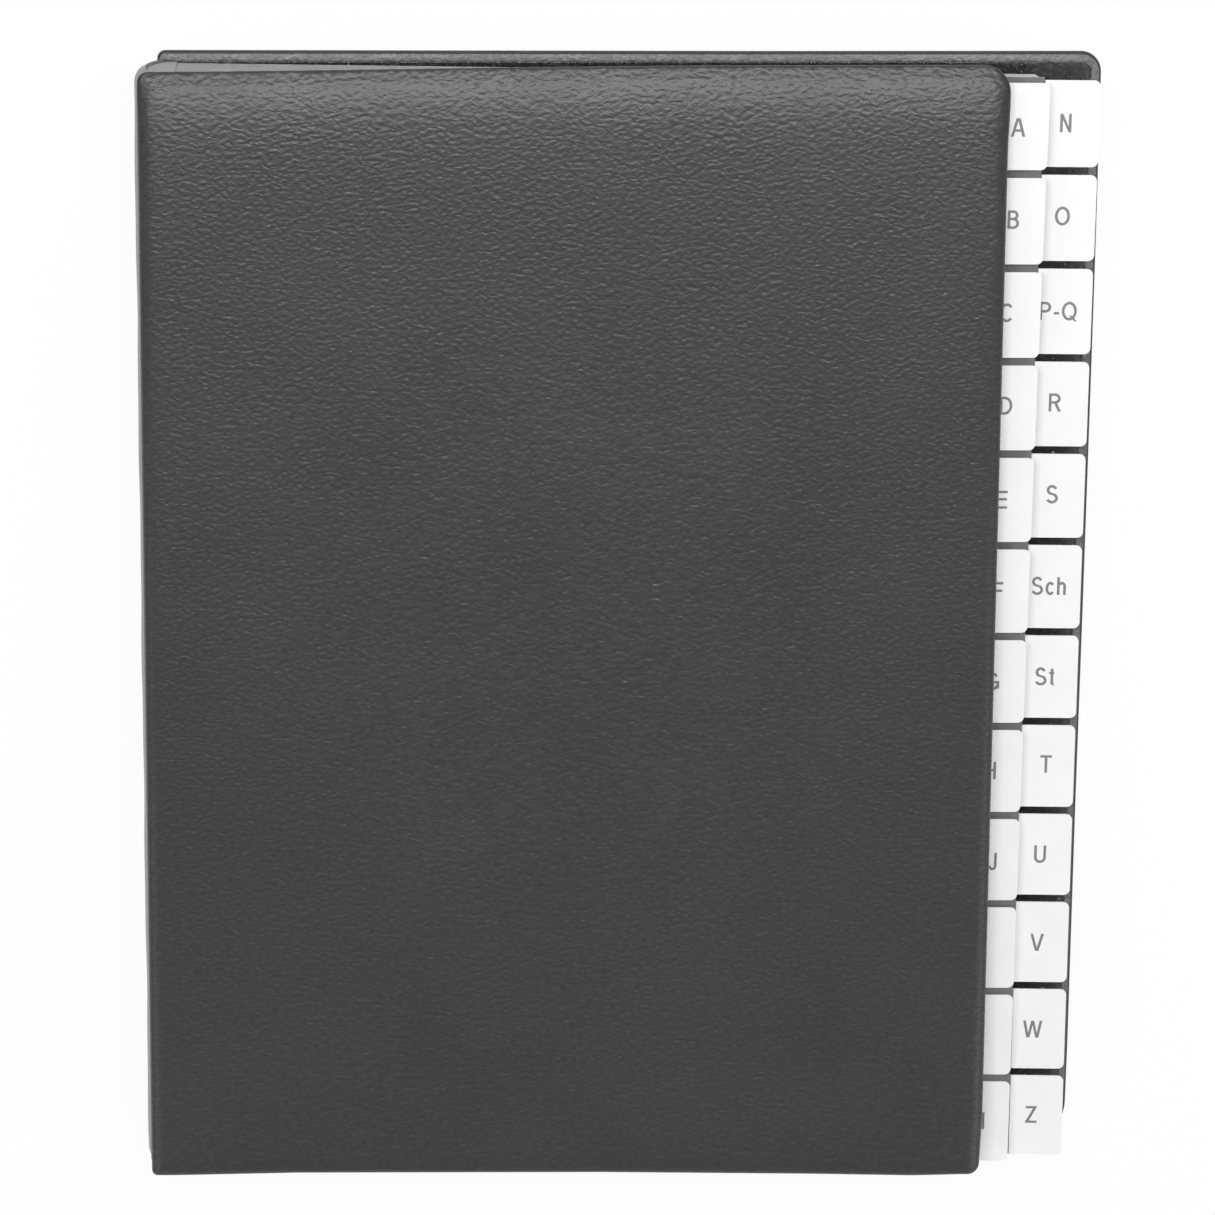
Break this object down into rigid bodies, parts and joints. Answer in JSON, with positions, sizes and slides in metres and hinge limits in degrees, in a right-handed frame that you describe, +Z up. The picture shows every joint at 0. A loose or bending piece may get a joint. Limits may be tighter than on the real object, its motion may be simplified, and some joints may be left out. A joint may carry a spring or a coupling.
{
  "type": "alphabetical desk sorter",
  "caption": "Closed desk sorter for loose sheets: two padded leatherette covers and a spine around a concertina of stepped, lettered card dividers that stand out at the fore edge.",
  "frame": {"origin": "middle of the footprint, on the plane the back cover lies on", "axes": "+X from the spine to the fore edge with the tabs, +Y from the foot to the head, +Z up, out of the front cover"},
  "size_m": [0.284, 0.34, 0.037],
  "materials": {
    "leatherette": "pebble-grained, satin, anthracite",
    "lining": "glossy black film",
    "card": "matt dark grey card",
    "tab_film": "white film with a soft sheen",
    "gusset": "matt grey"
  },
  "bodies": {
    "back": {"back_cover": "leatherette", "back_lining": "lining"},
    "block": {"spine": "leatherette", "gusset": "gusset", "divider_A": "card", "tab_A": "tab_film", "divider_B": "card", "tab_B": "tab_film", "divider_C": "card", "tab_C": "tab_film", "divider_D": "card", "tab_D": "tab_film", "divider_E": "card", "tab_E": "tab_film", "divider_F": "card", "tab_F": "tab_film", "divider_G": "card", "tab_G": "tab_film", "divider_H": "card", "tab_H": "tab_film", "divider_J": "card", "tab_J": "tab_film", "divider_K": "card", "tab_K": "tab_film", "divider_L": "card", "tab_L": "tab_film", "divider_M": "card", "tab_M": "tab_film", "divider_N": "card", "tab_N": "tab_film", "divider_O": "card", "tab_O": "tab_film", "divider_PQ": "card", "tab_PQ": "tab_film", "divider_R": "card", "tab_R": "tab_film", "divider_S": "card", "tab_S": "tab_film", "divider_Sch": "card", "tab_Sch": "tab_film", "divider_St": "card", "tab_St": "tab_film", "divider_T": "card", "tab_T": "tab_film", "divider_U": "card", "tab_U": "tab_film", "divider_V": "card", "tab_V": "tab_film", "divider_W": "card", "tab_W": "tab_film", "divider_Z": "card", "tab_Z": "tab_film"},
    "front": {"front_cover": "leatherette", "front_lining": "lining"}
  },
  "joints": [
    {"name": "block_fold", "type": "hinge", "parent": "back", "child": "block", "pos_m": [-0.1365, 0, 0.005], "axis": [0, -1, 0], "range_deg": [0, 84]},
    {"name": "cover_fold", "type": "hinge", "parent": "block", "child": "front", "pos_m": [-0.1412, 0, 0.032], "axis": [0, 1, 0], "range_deg": [-180, 0]}
  ]
}
